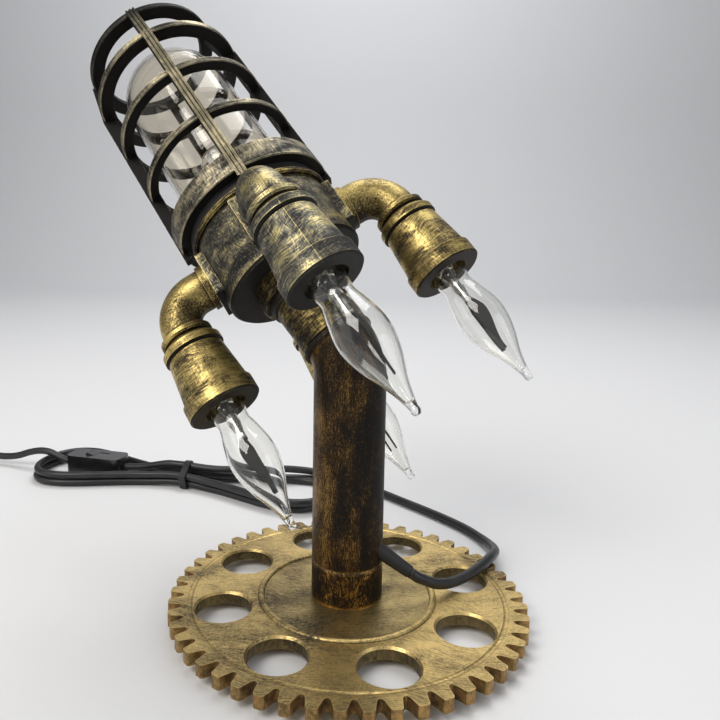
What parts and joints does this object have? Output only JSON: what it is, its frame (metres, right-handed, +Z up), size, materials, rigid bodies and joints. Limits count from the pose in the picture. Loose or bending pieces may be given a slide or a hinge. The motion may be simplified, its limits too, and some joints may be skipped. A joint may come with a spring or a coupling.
{
  "type": "rocket-shaped table lamp",
  "caption": "Table lamp shaped like a rocket: toothed disc base, bent pipe post, caged clear jar and four pipe arms with flame bulbs.",
  "frame": {"origin": "on the table under the axis of the post, in the middle of the round base", "axes": "+Z up along the post, +X to the right and +Y away from the viewer as the lamp stands in the picture"},
  "size_m": [0.5241, 0.3697, 0.3824],
  "materials": {
    "antique_iron": "rubbed antique brass coat",
    "rubbed_black": "black coat rubbed through to copper",
    "antique_gold": "antique gold coat",
    "antique_gold_cast": "antique gold coat, dark below",
    "bronze_cast": "grey bronze coat with gold edges",
    "bronze_cup": "grey bronze coat with gold edges",
    "steel": "zinc plated",
    "brass": "bright brass",
    "dark_wire": "dark oxide",
    "porcelain": "glazed",
    "wire_sleeve": "woven sleeve",
    "clear_glass": "clear",
    "rubber": "matt",
    "felt": "felt",
    "cord_black": "smooth flexible jacket",
    "switch_black": "moulded gloss"
  },
  "bodies": {
    "stand": {"rubber_feet": "rubber", "base_pad": "felt", "base_locknut": "steel", "foot_nipple": "steel", "base_gear": "antique_iron", "foot_collar": "rubbed_black", "post_pipe": "rubbed_black", "socket_ring": "rubbed_black", "cord_gland": "rubber", "post_lead": "wire_sleeve", "cord_lead": "cord_black", "cord_hank": "cord_black", "cord_tail": "cord_black", "cord_end": "cord_black", "cord_tie": "cord_black", "switch_base": "switch_black", "switch_cover": "switch_black", "plug_body": "cord_black", "plug_pins": "brass"},
    "head": {"neck_pipe": "antique_gold", "neck_nut": "steel", "neck_lead": "wire_sleeve", "neck_collar": "rubbed_black", "neck_flange": "antique_gold", "tail_nut": "steel", "terminal_block": "porcelain", "body_shell": "bronze_cast", "seal_ring": "antique_gold", "jar_gasket": "rubber", "cage_guard": "bronze_cast", "glass_jar": "clear_glass", "main_holder": "porcelain", "main_bulb_base": "brass", "main_bulb_glass": "clear_glass", "main_filament": "steel"},
    "arm_left": {"arm_elbow_left": "antique_gold_cast", "cup_left": "bronze_cup", "holder_left": "porcelain", "bulb_base_left": "brass", "bulb_glass_left": "clear_glass", "flame_plate_left": "dark_wire"},
    "arm_front": {"arm_elbow_front": "antique_gold_cast", "cup_front": "bronze_cup", "holder_front": "porcelain", "bulb_base_front": "brass", "bulb_glass_front": "clear_glass", "flame_plate_front": "dark_wire"},
    "arm_right": {"arm_elbow_right": "antique_gold_cast", "cup_right": "bronze_cup", "holder_right": "porcelain", "bulb_base_right": "brass", "bulb_glass_right": "clear_glass", "flame_plate_right": "dark_wire"},
    "arm_back": {"arm_elbow_back": "antique_gold_cast", "cup_back": "bronze_cup", "holder_back": "porcelain", "bulb_base_back": "brass", "bulb_glass_back": "clear_glass", "flame_plate_back": "dark_wire"},
    "rocker": {"switch_rocker": "switch_black"}
  },
  "joints": [
    {"name": "rocket_roll", "type": "hinge", "parent": "stand", "child": "head", "pos_m": [-0.00758, 0.00636, 0.1651], "axis": [-0.5417, 0.4545, 0.7071], "range_deg": [-10, 10]},
    {"name": "arm_swivel_left", "type": "hinge", "parent": "head", "child": "arm_left", "pos_m": [-0.08628, 0.02865, 0.19231], "axis": [-0.8375, -0.2203, -0.5], "range_deg": [-8, 8]},
    {"name": "arm_swivel_front", "type": "hinge", "parent": "head", "child": "arm_front", "pos_m": [-0.04997, -0.00182, 0.23971], "axis": [-0.0715, -0.8631, 0.5], "range_deg": [-8, 8]},
    {"name": "arm_swivel_right", "type": "hinge", "parent": "head", "child": "arm_right", "pos_m": [-0.00688, 0.04953, 0.23971], "axis": [0.8375, 0.2203, 0.5], "range_deg": [-8, 8]},
    {"name": "arm_swivel_back", "type": "hinge", "parent": "head", "child": "arm_back", "pos_m": [-0.04319, 0.08, 0.19231], "axis": [0.0715, 0.8631, -0.5], "range_deg": [-8, 8]},
    {"name": "rocker_tip", "type": "hinge", "parent": "stand", "child": "rocker", "pos_m": [-0.23314, 0.21767, 0.0166], "axis": [-0.2079, -0.9781, 0], "range_deg": [0, 16]}
  ]
}
